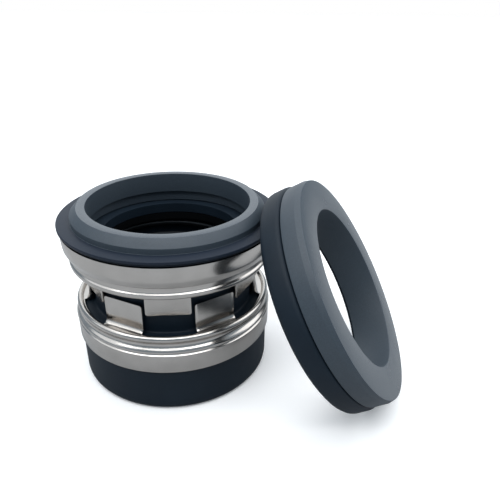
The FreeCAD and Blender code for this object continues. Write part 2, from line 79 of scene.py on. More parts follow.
TABS = 6  # On each pressed shell
TURN_STEPS = 192  # Round a turned piece
TAB_STEPS, SLOT_STEPS, BEND_STEPS = 7, 9, 5  # Half a tab, half the gap beside it, a tab's root
CORNER_STEPS, SHEET_STEPS, CUT_STEPS = 4, 5, 2  # Roundings: turned, pressed, and of cut edges
WIRE_SIDES, COIL_STEPS = 16, 64  # Round the wire, and in a turn of the coil

LAPPED, FIRED = 1, 2  # Material slots of a carbide ring, after the ground finish
COLOUR_A, COLOUR_B, COLOUR_OUT = 6, 7, 2  # A Mix node's sockets for colours
SENSOR = 36.0  # Millimetres, as the lens is
NEAREST = 10 * MM

# Bearing from -Y towards +X in degrees, height, distance, width and depth in metres, watts
LIGHTS = {
    "key": (-80, 0.42, 0.50, 0.45, 0.45, 0.6),
    "strip": (-6, 0.50, 0.28, 1.00, 0.10, 1.15),
    "back": (-172, 0.40, 0.90, 1.20, 1.20, 4.4),
    "side": (105, 0.35, 0.50, 0.45, 0.45, 1.1),
}


def linear(hex_colour):
    """Linear red, green and blue of an sRGB hex colour."""
    parts = [int(hex_colour[i:i + 2], 16) / 255 for i in (1, 3, 5)]
    return tuple(p / 12.92 if p <= 0.04045 else ((p + 0.055) / 1.055) ** 2.4 for p in parts)


def length(name, metres, description):
    """Property for a length in metres."""
    return bpy.props.FloatProperty(
        name=name, description=description, default=metres, unit="LENGTH", precision=5)


def colour(name, hex_colour, description):
    """Property for a colour."""
    return bpy.props.FloatVectorProperty(
        name=name, description=description, default=linear(hex_colour), size=3, subtype="COLOR",
        min=0.0, max=1.0)


def angle(name, degrees, description):
    """Property for an angle, given in degrees."""
    return bpy.props.FloatProperty(
        name=name, description=description, default=math.radians(degrees), subtype="ANGLE")


def amount(name, value, description):
    """Property for a plain number."""
    return bpy.props.FloatProperty(name=name, description=description, default=value)


class RingSizes(bpy.types.PropertyGroup):
    """Rotating ring of ground carbide."""
    top: length("Face height", RING_HIGH.z, "Sliding face above the base")
    back: length("Back height", RING_LOW.z, "Ring's back, on the rubber")
    radius: length("Flange radius", RING_HIGH.x, "Outer radius of the flange")
    bore: length("Bore radius", 23.66 * MM, "Bore of the ring")
    land: length("Land radius", 26.16 * MM, "Outer radius of the sliding face")
    nose: length("Nose radius", 28.2 * MM, "Outer radius of the nose")
    chamfer: length("Nose chamfer", 2.1 * MM, "Height of the nose chamfer")
    flange_top: length("Flange height", 50.0 * MM, "Top of the flange")
    flange_edge: length("Flange thickness", 0.9 * MM, "Thickness of the flange")
    body: length("Body radius", 29.0 * MM, "Radius of the ring inside the rubber")
    recess_top: length("Recess height", 47.6 * MM, "Top of the recess in the back")
    recess: length("Recess radius", 24.7 * MM, "Radius of the recess in the back")
    edge: length("Broken edge", 0.2 * MM, "Rounding of the ground edges")


class BellowsSizes(bpy.types.PropertyGroup):
    """Rubber moulding from the shaft tail to the lip round the ring."""
    tail_bore: length("Tail bore", 19.9 * MM, "Bore radius that grips the shaft")
    tail: length("Tail radius", 29.3 * MM, "Outer radius of the tail")
    tail_edge: length("Tail edge", 2.0 * MM, "Rounding of the tail's bottom edge")
    collar_high: length("Collar top", 18.9 * MM, "Where the tail narrows inside the skirt")
    plug: length("Plug radius", 28.05 * MM, "Tail inside the beads")
    shoulder: length("Plug chamfer", 1.1 * MM, "Chamfer at the top of the tail")
    tail_top: length("Tail top", 23.7 * MM, "Top of the tail")
    bore_end: length("Tail bore end", 18.0 * MM, "Where the spring's seat lies")
    wall: length("Wall radius", 24.2 * MM, "Outer radius of the thin wall")
    wall_inside: length("Wall inside", 23.2 * MM, "Inner radius of the thin wall")
    head_low: length("Head underside", 38.7 * MM, "Underside of the head")
    head: length("Head radius", 28.5 * MM, "Outer radius of the head")
    head_back: length("Head back", 44.0 * MM, "Rubber behind the ring")
    neck_low: length("Neck underside", 41.5 * MM, "Rubber over the spring")
    neck: length("Neck bore", 20.3 * MM, "Bore radius of the neck")
    ledge: length("Ledge radius", 23.3 * MM, "Collar inside the ring's recess")
    ledge_top: length("Ledge top", 44.5 * MM, "Top of that collar")
    lip_inside: length("Lip inside", 29.3 * MM, "Inner radius of the lip")
    lip_outside: length("Lip outside", 30.3 * MM, "Outer radius of the lip")
    roll: length("Roll radius", 31.3 * MM, "Outer radius of the lip's rolled edge")
    roll_low: length("Roll base", 48.3 * MM, "Underside of the rolled edge")
    roll_top: length("Roll top", 48.8 * MM, "Top of the rolled edge")
    rounding: length("Rounding", 0.6 * MM, "Rounding of the moulding's edges")
    fine: length("Fine rounding", 0.2 * MM, "Rounding of the lip")


class ShellSizes(bpy.types.PropertyGroup):
    """The two pressed steel shells and their interlocking tabs."""
    sheet: length("Sheet", 0.6 * MM, "Thickness of the sheet steel")
    cut_edge: length("Cut edge", 0.1 * MM, "Rounding of the cut edges")
    slot: length("Slot radius", 27.5 * MM, "How far out the slots between the tabs reach")
    foot: length("Foot radius", 27.8 * MM, "Radius of the crease at the flange")
    tab_distance: length("Tab distance", 25.1 * MM, "Outer face of a tab from the axis")
    tab_bend: length("Tab bend", 1.6 * MM, "Inside radius at a tab's root")
    tab_corner: length("Tab corner", 0.7 * MM, "Rounding of a tab's corners")
    bead_round: length("Bead rounding", 0.75 * MM, "Rounding of the retainer's bead and the crown")
    low_round: length("Lower bead rounding", 0.8 * MM, "Rounding of the lower bead")
    valley_round: length("Valley rounding", 1.2 * MM, "Rounding of the valley over it")
    high_round: length("Upper bead rounding", 0.85 * MM, "Rounding of the upper bead")
    groove_round: length("Groove rounding", 0.35 * MM, "Rounding of the grooves")
    # Retainer
    rim: length("Rim height", RETAINER_HIGH.z, "Top edge of the retainer")
    rim_radius: length("Rim radius", RETAINER_HIGH.x, "Outer radius of that edge")
    wall_low: length("Wall end", 43.7 * MM, "Where the retainer draws in")
    wall_radius: length("Wall radius", 31.25 * MM, "Outer radius there")
    wall_round: length("Wall rounding", 2.0 * MM, "Rounding there")
    neck_top: length("Groove top", 41.2 * MM, "Top of the retainer's groove")
    neck_low: length("Groove base", 39.7 * MM, "Base of the retainer's groove")
    neck_slope: length("Groove slope", 0.5 * MM, "Height of the groove's slopes")
    neck_edge: length("Groove edge", 30.35 * MM, "Outer radius at the groove's top")
    neck: length("Groove radius", 29.45 * MM, "Outer radius in the groove")
    neck_bead: length("Neck bead", 29.95 * MM, "Outer radius of the retainer's bead")
    under: length("Retainer underside", 37.8 * MM, "Underside of the retainer")
    retainer_tab: length("Retainer tab", 12.4 * MM, "Width of the retainer's tabs")
    retainer_tab_end: length("Retainer tab end", RETAINER_LOW.z, "Bottom of those tabs")
    # Drive band
    skirt_low: length("Skirt edge", BAND_LOW.z, "Lower edge of the skirt")
    skirt_top: length("Skirt top", 19.9 * MM, "Top of the skirt")
    skirt: length("Skirt radius", 30.0 * MM, "Outer radius of the skirt")
    skirt_round: length("Skirt rounding", 0.15 * MM, "Rounding of the skirt's top")
    skirt_groove: length("Skirt groove", 0.8 * MM, "Depth of the groove over the skirt")
    groove_rise: length("Groove rise", 0.55 * MM, "Deepest line of that groove above the skirt")
    low_bead: length("Lower bead", 21.05 * MM, "Middle of the lower bead")
    low_bead_radius: length("Lower bead radius", 30.66 * MM, "Before rounding")
    valley: length("Valley", 22.8 * MM, "Middle of the valley")
    valley_radius: length("Valley radius", 28.6 * MM, "Before rounding")
    high_bead: length("Upper bead", 24.75 * MM, "Middle of the upper bead")
    high_bead_radius: length("Upper bead radius", 29.8 * MM, "Before rounding")
    crown: length("Bead crown", 26.2 * MM, "Top of the upper bead, before rounding")
    crown_radius: length("Crown radius", 28.3 * MM, "Radius at that top")
    band_top: length("Band flange", 24.4 * MM, "Top of the flange under the tabs")
    band_tab: length("Band tab", 12.4 * MM, "Width of the band's tabs")
    band_tab_end: length("Band tab end", BAND_HIGH.z, "Top of those tabs")


class SpringSizes(bpy.types.PropertyGroup):
    """Coil spring inside the bellows."""
    wire: length("Wire", 1.6 * MM, "Diameter of the wire")
    coil: length("Coil radius", 21.65 * MM, "Radius to the middle of the wire")
    pitch: length("Pitch", 4.2 * MM, "Rise in one turn")
    low: length("Low end", SPRING_LOW.z, "Where the spring stands")
    high: length("High end", SPRING_HIGH.z, "Where the spring ends")


class SeatSizes(bpy.types.PropertyGroup):
    """Stationary ring and its rubber cup, along their own axis from the face back."""
    bore: length("Bore radius", 23.4 * MM, "Bore of the ring")
    face: length("Face radius", 32.55 * MM, "Outer radius of the face")
    radius: length("Ring radius", 33.0 * MM, "Outer radius of the ring")
    chamfer: length("Chamfer", 1.5 * MM, "Height of the chamfer")
    head: length("Head", 5.6 * MM, "Thickness of the ring's head")
    spigot: length("Back radius", 29.5 * MM, "Radius of the ring's back")
    depth: length("Ring length", 11.0 * MM, "Length of the ring")
    edge: length("Broken edge", 0.2 * MM, "Rounding of the ground edges")
    cup: length("Cup radius", 33.5 * MM, "Outer radius of the cup")
    cup_inside: length("Cup inside", 29.6 * MM, "Inner radius of the cup")
    cup_front: length("Cup front", 5.8 * MM, "Cup's front edge behind the face")
    cup_depth: length("Seat length", 12.0 * MM, "Length of ring and cup together")
    cup_bore: length("Cup bore", 24.4 * MM, "Bore radius of the cup's back")
    cup_back_round: length("Cup back rounding", 1.8 * MM, "Rounding of the back edge")
    cup_front_round: length("Cup front rounding", 1.2 * MM, "Rounding of the front edge")
    bore_mount_depth: length("Bore middle", 5.5 * MM, "Middle of the bore behind the face")


class FinishColours(bpy.types.PropertyGroup):
    """Colours of the finishes."""
    carbide: colour("Carbide", "#242f38", "Sintered silicon carbide")
    carbide_pale: colour("Carbide, pale", "#37434e", "Paler grain in the carbide")
    fired: colour("Carbide, fired", "#0d1826", "Silicon carbide's flange, as fired")
    fired_pale: colour("Carbide, fired, pale", "#182433", "Pale grain of the fired carbide")
    rubber: colour("Rubber", "#0d1822", "Moulded black rubber")
    rubber_bloom: colour("Rubber bloom", "#16232e", "Faint bloom on the rubber")
    steel: colour("Steel", "#ccc7c2", "Pressed stainless steel")
    steel_dull: colour("Steel, dull", "#b2aea9", "Duller patches on the steel")
    # Spring wire colour: painted shade, dark so that the spring and its rings sink into the shaded
    # bore
    wire: colour("Spring wire", "#25282b", "Drawn wire, dark as painted shade inside the bellows")
    floor: colour("Floor", "#fcfcfc", "Pale studio floor")
    floor_glow: colour("Floor's glow", "#a6a8aa", "Grey that the floor throws on the seal")
    daylight: colour("Daylight", "#cfe2f2", "Cool light from the studio's walls")
    white: colour("White", "#ffffff", "The walls as the camera sees them")


class StageSettings(bpy.types.PropertyGroup):
    """Camera, light and floor."""
    camera_distance: length("Camera distance", 139.5 * MM, "From the head's axis, level")
    camera_height: length("Camera height", 107.3 * MM, "Above the floor")
    camera_bearing: angle("Camera bearing", 4.7, "From -Y towards +X, where the camera stands")
    aim_bearing: angle("Aim bearing", 5.01, "From +Y towards +X, where the camera looks")
    aim_tilt: angle("Aim tilt", 27.98, "How far down the camera looks")
    roll: angle("Roll", 0.88, "Turn of the camera about its aim")
    lens: amount("Lens", 36.16, "Focal length on a 36 mm sensor, in millimetres")
    shift_x: amount("Shift across", 0.0029, "Share of the frame's width")
    shift_y: amount("Shift up", 0.0191, "Share of the frame's width")
    floor_size: length("Floor", 6.0, "Side of the floor")
    ceiling: amount("Ceiling light", 2.2, "From straight above, in watts per square metre")
    ceiling_spread: angle("Ceiling spread", 80, "Angle that the ceiling's light comes from")
    walls: amount("Wall light", 0.46, "Brightness of the studio's walls")
    paper_glow: amount("Paper glow", 0.1, "Light that the paper adds where the camera sees it")


GROUPS = {
    "seal_ring": RingSizes,
    "seal_bellows": BellowsSizes,
    "seal_shells": ShellSizes,
    "seal_spring": SpringSizes,
    "seal_seat": SeatSizes,
    "seal_colours": FinishColours,
    "seal_stage": StageSettings,
}


def rounded_line(bm, corners, closed, segments):
    """A line of edges through (radius, height, rounding) corners, rounded by vertex bevels."""
    places = [Vector((radius, 0.0, height)) for radius, height, _ in corners]
    verts = [bm.verts.new(place) for place in places]
    count = len(verts)
    for i in range(count if closed else count - 1):
        bm.edges.new((verts[i], verts[(i + 1) % count]))
    for i, (_, _, rounding) in enumerate(corners):
        if not rounding:
            continue
        back = places[i - 1] - places[i]
        ahead = places[(i + 1) % count] - places[i]
        reach = rounding / math.tan(back.angle(ahead) / 2)
        bmesh.ops.bevel(bm, geom=[verts[i]], offset=reach, offset_type="OFFSET", affect="VERTICES",
                        segments=segments, profile=0.5, material=-1)


def split_long(bm, longest):
    """Divides the line's long edges, so that a wall can bend."""
    for edge in list(bm.edges):
        cuts = int(edge.calc_length() / longest)
        if cuts:
            bmesh.ops.subdivide_edges(bm, edges=[edge], cuts=cuts)


def finish_piece(bm, name, body, node, material):
    """Makes a piece that stands for a node of the frame; one with no body is left unattached."""
    for face in bm.faces:
        face.smooth = True
    for edge in bm.edges:
        edge.smooth = edge.calc_face_angle(0.0) < SHARP
    mesh = bpy.data.meshes.new(name)
    bm.to_mesh(mesh)
    bm.free()
    piece = bpy.data.objects.new(name, mesh)
    bpy.context.scene.collection.objects.link(piece)
    mesh.materials.append(material)
    if body:
        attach(piece, body)
    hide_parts(node)
    return piece


def turned(corners, longest=None):
    """Closed ring turned about Z from its section."""
    bm = bmesh.new()
    rounded_line(bm, corners, True, CORNER_STEPS)
    if longest:
        split_long(bm, longest)
    bmesh.ops.spin(bm, geom=bm.verts[:] + bm.edges[:], cent=(0, 0, 0), axis=(0, 0, 1),
                   angle=2 * math.pi, steps=TURN_STEPS, use_merge=True, use_duplicate=False)
    bmesh.ops.remove_doubles(bm, verts=bm.verts[:], dist=WELD)
    bmesh.ops.recalc_face_normals(bm, faces=bm.faces[:])
    return bm


def bend_and_tab(sizes, flange, tab_end):
    """(distance, height) of a tab's rows of points, from its flange round the bend to its end."""
    away = math.copysign(1.0, tab_end - flange)
    rows = []
    for i in range(BEND_STEPS + 1):
        turn = math.pi / 2 * i / BEND_STEPS
        rows.append((sizes.tab_distance + sizes.tab_bend * (1 - math.sin(turn)),
                     flange + away * sizes.tab_bend * (1 - math.cos(turn))))
    rows.append((sizes.tab_distance, tab_end))
    return rows


def pressed_shell(sizes, line, width, flange, tab_end, bearing):
    """Sheet steel shell: its line turned about Z, with six tabs bent from its inner edge.

    Half of one sixth is made with a tab's middle on +X, then mirrored and repeated.
    """
    bm = bmesh.new()
    rounded_line(bm, line, False, SHEET_STEPS)
    half_tab = math.asin(width / 2 / sizes.slot)
    about_z = {"cent": (0, 0, 0), "axis": (0, 0, 1)}
    one_way = {"use_merge": False, "use_duplicate": False}
    swept = bmesh.ops.spin(bm, geom=bm.verts[:] + bm.edges[:], angle=half_tab, steps=TAB_STEPS,
                           **about_z, **one_way)
    bmesh.ops.spin(bm, geom=swept["geom_last"], angle=math.pi / TABS - half_tab, steps=SLOT_STEPS,
                   **about_z, **one_way)
    bmesh.ops.remove_doubles(bm, verts=bm.verts[:], dist=WELD)

    def on_tab_root(vert):
        level = abs(vert.co.z - flange) < WELD and abs(vert.co.xy.length - sizes.slot) < WELD
        return level and vert.co.y < width / 2 + WELD

    edges = [edge for edge in bm.edges if all(on_tab_root(vert) for vert in edge.verts)]
    for distance, height in bend_and_tab(sizes, flange, tab_end):
        grown = bmesh.ops.extrude_edge_only(bm, edges=edges)["geom"]
        verts = [item for item in grown if isinstance(item, bmesh.types.BMVert)]
        edges = [item for item in grown if isinstance(item, bmesh.types.BMEdge)
                 and all(vert in verts for vert in item.verts)]
        for vert in verts:
            vert.co.x, vert.co.z = distance, height
    corner = max(verts, key=lambda vert: vert.co.y)
    bmesh.ops.bevel(bm, geom=[corner], offset=sizes.tab_corner, offset_type="OFFSET",
                    affect="VERTICES", segments=CORNER_STEPS, profile=0.5, material=-1)
    bmesh.ops.mirror(bm, geom=bm.verts[:] + bm.edges[:] + bm.faces[:], matrix=Matrix.Identity(4),
                     merge_dist=WELD, axis="Y")
    bmesh.ops.spin(bm, geom=bm.verts[:] + bm.edges[:] + bm.faces[:], use_duplicate=True,
                   angle=2 * math.pi * (TABS - 1) / TABS, steps=TABS - 1, **about_z)
    bmesh.ops.remove_doubles(bm, verts=bm.verts[:], dist=WELD)
    bmesh.ops.rotate(bm, verts=bm.verts[:], cent=(0, 0, 0), matrix=Matrix.Rotation(bearing, 3, "Z"))
    bmesh.ops.recalc_face_normals(bm, faces=bm.faces[:])
    # An open sheet has no outside of its own, so its outermost face says which side that is
    outermost = max(bm.faces, key=lambda face: face.calc_center_median().xy.length)
    centre = outermost.calc_center_median()
    if outermost.normal.xy.dot(centre.xy) < 0:
        bmesh.ops.reverse_faces(bm, faces=bm.faces[:])
    bmesh.ops.solidify(bm, geom=bm.faces[:], thickness=sizes.sheet)
    square = [edge for edge in bm.edges if edge.calc_face_angle(0.0) > SQUARE]
    bmesh.ops.bevel(bm, geom=square, offset=sizes.cut_edge, offset_type="OFFSET", affect="EDGES",
                    segments=CUT_STEPS, profile=0.5, material=-1, clamp_overlap=True)
    return bm


def seat_place(sizes):
    """Matrix that carries the seat from its own axis, face at z = 0, to where it leans."""
    bore = MOUNTS["seat_bore"]
    axis = Vector(bore["axis"]).normalized()
    face = Vector(bore["pos_m"]) + axis * sizes.bore_mount_depth
    turn = Vector((0, 0, 1)).rotation_difference(axis).to_matrix().to_4x4()
    return Matrix.Translation(face) @ turn


class MESH_OT_seal_rotating_ring(bpy.types.Operator):
    """Turn the rotating carbide ring: land, chamfered nose, flange and recessed back"""
    bl_idname = "mesh.seal_rotating_ring"
    bl_label = "Rotating Ring"

    def execute(self, context):
        s = context.scene.seal_ring
        flange_under = s.flange_top - s.flange_edge
        bm = turned([
            (s.recess, s.back, 0),
            (s.body, s.back, s.edge),
            (s.body, flange_under, 0),
            (s.radius, flange_under, s.edge),
            (s.radius, s.flange_top, s.edge),
            (s.nose, s.flange_top, s.edge / 2),
            (s.nose, s.top - s.chamfer, s.edge),
            (s.land, s.top, s.edge / 2),
            (s.bore, s.top, s.edge / 2),
            (s.bore, s.recess_top, 0),
            (s.recess, s.recess_top, 0),
        ])
        lap_face(bm, s.top)
        leave_fired(bm, s.nose, s.flange_top)
        ring = finish_piece(bm, "rotating_ring", FACE, "primary_ring",
                            ground_carbide())
        ring.data.materials.append(lapped_carbide())
        ring.data.materials.append(fired_carbide())
        return {"FINISHED"}


class MESH_OT_seal_bellows(bpy.types.Operator):
    """Turn the rubber bellows in one piece, bending between shaft and face"""
    bl_idname = "mesh.seal_bellows"
    bl_label = "Rubber Bellows"

    def execute(self, context):
        s = context.scene.seal_bellows
        bm = turned([
            (s.tail_bore, 0, 0),
            (s.tail, 0, s.tail_edge),
            (s.tail, s.collar_high, 0),
            (s.plug, s.collar_high + s.tail - s.plug, 0),
            (s.plug, s.tail_top - s.shoulder, 0),
            (s.plug - s.shoulder, s.tail_top, 0),
            (s.wall, s.tail_top, s.rounding),
            (s.wall, s.head_low, s.rounding),
            (s.head, s.head_low, s.rounding),
            (s.head, s.head_back - (s.lip_outside - s.head), 0),
            (s.lip_outside, s.head_back, 0),
            (s.lip_outside, s.roll_low, 0),
            (s.roll, s.roll_low, s.fine),
            (s.roll, s.roll_top, s.fine),
            (s.lip_inside, s.roll_top, 0),
            (s.lip_inside, s.head_back, 0),
            (s.ledge, s.head_back, 0),
            (s.ledge, s.ledge_top, s.fine),
            (s.neck, s.ledge_top, 0),
            (s.neck, s.neck_low, 0),
            (s.wall_inside, s.neck_low, 0),
            (s.wall_inside, s.bore_end, 0),
            (s.tail_bore, s.bore_end, 0),
        ], LONGEST_WALL)
        piece = finish_piece(bm, "rubber_bellows", None, "bellows", moulded_rubber())
        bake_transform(piece)
        return {"FINISHED"}


class MESH_OT_seal_shells(bpy.types.Operator):
    """Press the drive band and the retainer, with six interlocking tabs on each"""
    bl_idname = "mesh.seal_shells"
    bl_label = "Pressed Shells"

    def execute(self, context):
        s = context.scene.seal_shells
        steel = pressed_steel()
        band = pressed_shell(s, [
            (s.skirt, s.skirt_low, 0),
            (s.skirt, s.skirt_top, s.skirt_round),
            (s.skirt - s.skirt_groove, s.skirt_top + s.groove_rise, s.groove_round),
            (s.low_bead_radius, s.low_bead, s.low_round),
            (s.valley_radius, s.valley, s.valley_round),
            (s.high_bead_radius, s.high_bead, s.high_round),
            (s.crown_radius, s.crown, s.bead_round),
            (s.foot, s.band_top, s.groove_round),
            (s.slot, s.band_top, 0),
        ], s.band_tab, s.band_top, s.band_tab_end, 0.0)
        finish_piece(band, "drive_band_shell", HEAD, "drive_band", steel)
        retainer = pressed_shell(s, [
            (s.slot, s.under, 0),
            (s.neck_bead, s.under, s.bead_round),
            (s.neck_bead, s.neck_low - s.neck_slope, s.groove_round),
            (s.neck, s.neck_low, s.groove_round),
            (s.neck, s.neck_top, s.groove_round),
            (s.neck_edge, s.neck_top + s.neck_slope, s.groove_round),
            (s.wall_radius, s.wall_low, s.wall_round),
            (s.rim_radius, s.rim, 0),
        ], s.retainer_tab, s.under, s.retainer_tab_end, -math.pi / 2)
        finish_piece(retainer, "retainer_shell", FACE, "retainer", steel)
        return {"FINISHED"}


class MESH_OT_seal_spring(bpy.types.Operator):
    """Wind the coil spring inside the bellows, and finish the rings that seat it"""
    bl_idname = "mesh.seal_spring"
    bl_label = "Coil Spring"

    def execute(self, context):
        s = context.scene.seal_spring
        wire_radius = s.wire / 2
        rise = s.high - s.low - s.wire
        bm = bmesh.new()
        bmesh.ops.create_circle(bm, cap_ends=False, segments=WIRE_SIDES, radius=wire_radius)
        upright = Matrix.Rotation(math.pi / 2, 4, "X")
        place = Matrix.Translation((s.coil, 0, s.low + wire_radius)) @ upright
        bmesh.ops.transform(bm, matrix=place, verts=bm.verts[:])
        first = bm.edges[:]
        turns = rise / s.pitch
        steps = int(turns * COIL_STEPS)
        swept = bmesh.ops.spin(bm, geom=bm.verts[:] + first, cent=(0, 0, 0), axis=(0, 0, 1),
                               dvec=(0, 0, rise / steps), angle=2 * math.pi * turns, steps=steps,
                               use_merge=False, use_duplicate=False)
        last = [item for item in swept["geom_last"] if isinstance(item, bmesh.types.BMEdge)]
        for rim in (first, last):
            bmesh.ops.edgeloop_fill(bm, edges=rim)
        bmesh.ops.recalc_face_normals(bm, faces=bm.faces[:])
        wire = shade_dark_spring_steel()
        piece = finish_piece(bm, "spring_wire", None, "coil_spring", wire)
        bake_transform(piece)
        # The seat rings get the same wire colour, painted shade for the inside of the bore
        for node in ("lower_spring_ring", "upper_spring_ring"):
            seat = frame["nodes"][node]
            seat.data.materials.clear()
            seat.data.materials.append(wire)
        return {"FINISHED"}


class MESH_OT_seal_seat(bpy.types.Operator):
    """Turn the stationary ring and its rubber cup, and lean them on the head"""
    bl_idname = "mesh.seal_seat"
    bl_label = "Stationary Seat"

    def execute(self, context):
        s = context.scene.seal_seat
        place = seat_place(s)
        ring = turned([
            (s.bore, -s.depth, s.edge / 2),
            (s.spigot, -s.depth, s.edge),
            (s.spigot, -s.head, 0),
            (s.radius, -s.head, s.edge),
            (s.radius, -s.chamfer, s.edge),
            (s.face, 0, s.edge / 2),
            (s.bore, 0, s.edge),
        ])
        lap_face(ring, 0)
        ring.transform(place)
        seat = finish_piece(ring, "stationary_ring", HEAD, "seat_ring",
                            ground_carbide())
        seat.data.materials.append(lapped_carbide())
        cup = turned([
            (s.cup_bore, -s.cup_depth, s.edge),
            (s.cup, -s.cup_depth, s.cup_back_round),
            (s.cup, -s.cup_front, s.cup_front_round),
            (s.cup_inside, -s.cup_front, s.edge),
            (s.cup_inside, -s.depth, 0),
            (s.cup_bore, -s.depth, 0),
        ])
        cup.transform(place)
        finish_piece(cup, "stationary_cup", HEAD, "seat_cup", moulded_rubber())
        return {"FINISHED"}


def add_node(tree, kind, settings=None, **links):
    """Adds a node; settings go to its properties or its sockets, links to its sockets."""
    node = tree.nodes.new(kind)
    for name, value in (settings or {}).items():
        if name in node.inputs:
            node.inputs[name].default_value = value
        else:
            setattr(node, name, value)
    for name, source in links.items():
        tree.links.new(source, node.inputs[name.replace("_", " ")])
    return node


def new_material(name):
    """Empty node material, with its principled shader."""
    made = bpy.data.materials.new(name)
    made.use_nodes = True
    shader = made.node_tree.nodes["Principled BSDF"]
    return made, made.node_tree, shader


def carbide(name, dark, pale, smoothest, roughest, ior=1.6):
    """Sintered silicon carbide: dark blue-grey with a fine grain, as rough as it was finished."""
    made, tree, shader = new_material(name)
    # To the eye: near black with a cold blue-grey sheen, even, and hard at its edges
    place = add_node(tree, "ShaderNodeTexCoord").outputs["Object"]
    # Sinter grain is about 0.05 mm; drawn at 0.35 mm so that it shows
    grain = add_node(tree, "ShaderNodeTexNoise", {"Scale": 1 / (0.35 * MM), "Detail": 3.0},
                     Vector=place)
    # Uneven polish, in patches of about 6 mm
    patches = add_node(tree, "ShaderNodeTexNoise", {"Scale": 1 / (6 * MM), "Detail": 2.0},
                       Vector=place)
    tint = add_node(tree, "ShaderNodeMix", {"data_type": "RGBA"}, Factor=grain.outputs["Fac"])
    tint.inputs[COLOUR_A].default_value = (*dark, 1.0)
    tint.inputs[COLOUR_B].default_value = (*pale, 1.0)
    polish = add_node(tree, "ShaderNodeMapRange", {"To Min": smoothest, "To Max": roughest},
                      Value=patches.outputs["Fac"])
    relief = add_node(tree, "ShaderNodeBump", {"Strength": 0.06, "Distance": 0.02 * MM},
                      Height=grain.outputs["Fac"])
    tree.links.new(tint.outputs[COLOUR_OUT], shader.inputs["Base Color"])
    tree.links.new(polish.outputs["Result"], shader.inputs["Roughness"])
    tree.links.new(relief.outputs["Normal"], shader.inputs["Normal"])
    shader.inputs["IOR"].default_value = ior
    return made


def ground_carbide():
    """Carbide as the grinding wheel leaves it: satin."""
    c = bpy.context.scene.seal_colours
    return carbide("silicon carbide, ground", c.carbide, c.carbide_pale,
                   smoothest=0.5, roughest=0.62)


def lapped_carbide():
    """Carbide of the two sliding faces, lapped flat: it takes the sheen of what lies behind."""
    c = bpy.context.scene.seal_colours
    return carbide("silicon carbide, lapped", c.carbide, c.carbide_pale,
                   smoothest=0.22, roughest=0.3)


def fired_carbide():
    """Carbide as it leaves the kiln, never ground: darker and bluer, and it shines less."""
    c = bpy.context.scene.seal_colours
    return carbide("silicon carbide, as fired", c.fired, c.fired_pale,
                   smoothest=0.5, roughest=0.6, ior=1.35)


def lap_face(bm, height):
    """Gives the lapped material to the flat face at a height."""
    for face in bm.faces:
        if all(abs(vertex.co.z - height) < WELD for vertex in face.verts):
            face.material_index = LAPPED


def leave_fired(bm, radius, height):
    """Gives the fired material to the faces outside a radius and not above a height."""
    for face in bm.faces:
        if all(vertex.co.z < height + WELD and vertex.co.xy.length > radius - WELD
               for vertex in face.verts):
            face.material_index = FIRED


def moulded_rubber():
    """Moulded nitrile rubber: black and matt, with the mould's fine texture."""
    c = bpy.context.scene.seal_colours
    made, tree, shader = new_material("moulded nitrile rubber")
    # To the eye: black that swallows light, with soft broad highlights and a faint bloom
    place = add_node(tree, "ShaderNodeTexCoord").outputs["Object"]
    # Texture of a spark-eroded mould, about 0.1 mm; drawn at 0.3 mm so that it shows
    texture = add_node(tree, "ShaderNodeTexNoise", {"Scale": 1 / (0.3 * MM), "Detail": 2.0},
                       Vector=place)
    # Bloom of wax at the surface, in patches of about 9 mm
    bloom = add_node(tree, "ShaderNodeTexNoise", {"Scale": 1 / (9 * MM), "Detail": 3.0},
                     Vector=place)
    tint = add_node(tree, "ShaderNodeMix", {"data_type": "RGBA"}, Factor=bloom.outputs["Fac"])
    tint.inputs[COLOUR_A].default_value = (*c.rubber, 1.0)
    tint.inputs[COLOUR_B].default_value = (*c.rubber_bloom, 1.0)
    relief = add_node(tree, "ShaderNodeBump", {"Strength": 0.15, "Distance": 0.03 * MM},
                      Height=texture.outputs["Fac"])
    tree.links.new(tint.outputs[COLOUR_OUT], shader.inputs["Base Color"])
    tree.links.new(relief.outputs["Normal"], shader.inputs["Normal"])
    shader.inputs["Roughness"].default_value = 0.55
    shader.inputs["Specular IOR Level"].default_value = 0.22
    return made


def pressed_steel():
    """Stainless strip, deep drawn: bright, with faint marks along the draw and dull patches."""
    c = bpy.context.scene.seal_colours
    made, tree, shader = new_material("deep-drawn stainless steel")
    # To the eye: a blurred mirror, with crisp bright lines on the beads and greyer walls
    place = add_node(tree, "ShaderNodeTexCoord").outputs["Object"]
    # The die leaves fine marks along the draw, 0.3 mm apart and about 8 mm long
    squeezed = add_node(tree, "ShaderNodeMapping", {"Scale": (1.0, 1.0, 0.04)}, Vector=place)
    marks = add_node(tree, "ShaderNodeTexNoise", {"Scale": 1 / (0.3 * MM), "Detail": 3.0},
                     Vector=squeezed.outputs["Vector"])
    # Lubricant stain and wear, in patches of about 5 mm
    patches = add_node(tree, "ShaderNodeTexNoise", {"Scale": 1 / (5 * MM), "Detail": 4.0},
                       Vector=place)
    tint = add_node(tree, "ShaderNodeMix", {"data_type": "RGBA"}, Factor=patches.outputs["Fac"])
    tint.inputs[COLOUR_A].default_value = (*c.steel_dull, 1.0)
    tint.inputs[COLOUR_B].default_value = (*c.steel, 1.0)
    polish = add_node(tree, "ShaderNodeMapRange", {"To Min": 0.14, "To Max": 0.3},
                      Value=patches.outputs["Fac"])
    relief = add_node(tree, "ShaderNodeBump", {"Strength": 0.2, "Distance": 0.02 * MM},
                      Height=marks.outputs["Fac"])
    tree.links.new(tint.outputs[COLOUR_OUT], shader.inputs["Base Color"])
    tree.links.new(polish.outputs["Result"], shader.inputs["Roughness"])
    tree.links.new(relief.outputs["Normal"], shader.inputs["Normal"])
    shader.inputs["Metallic"].default_value = 1.0
    return made


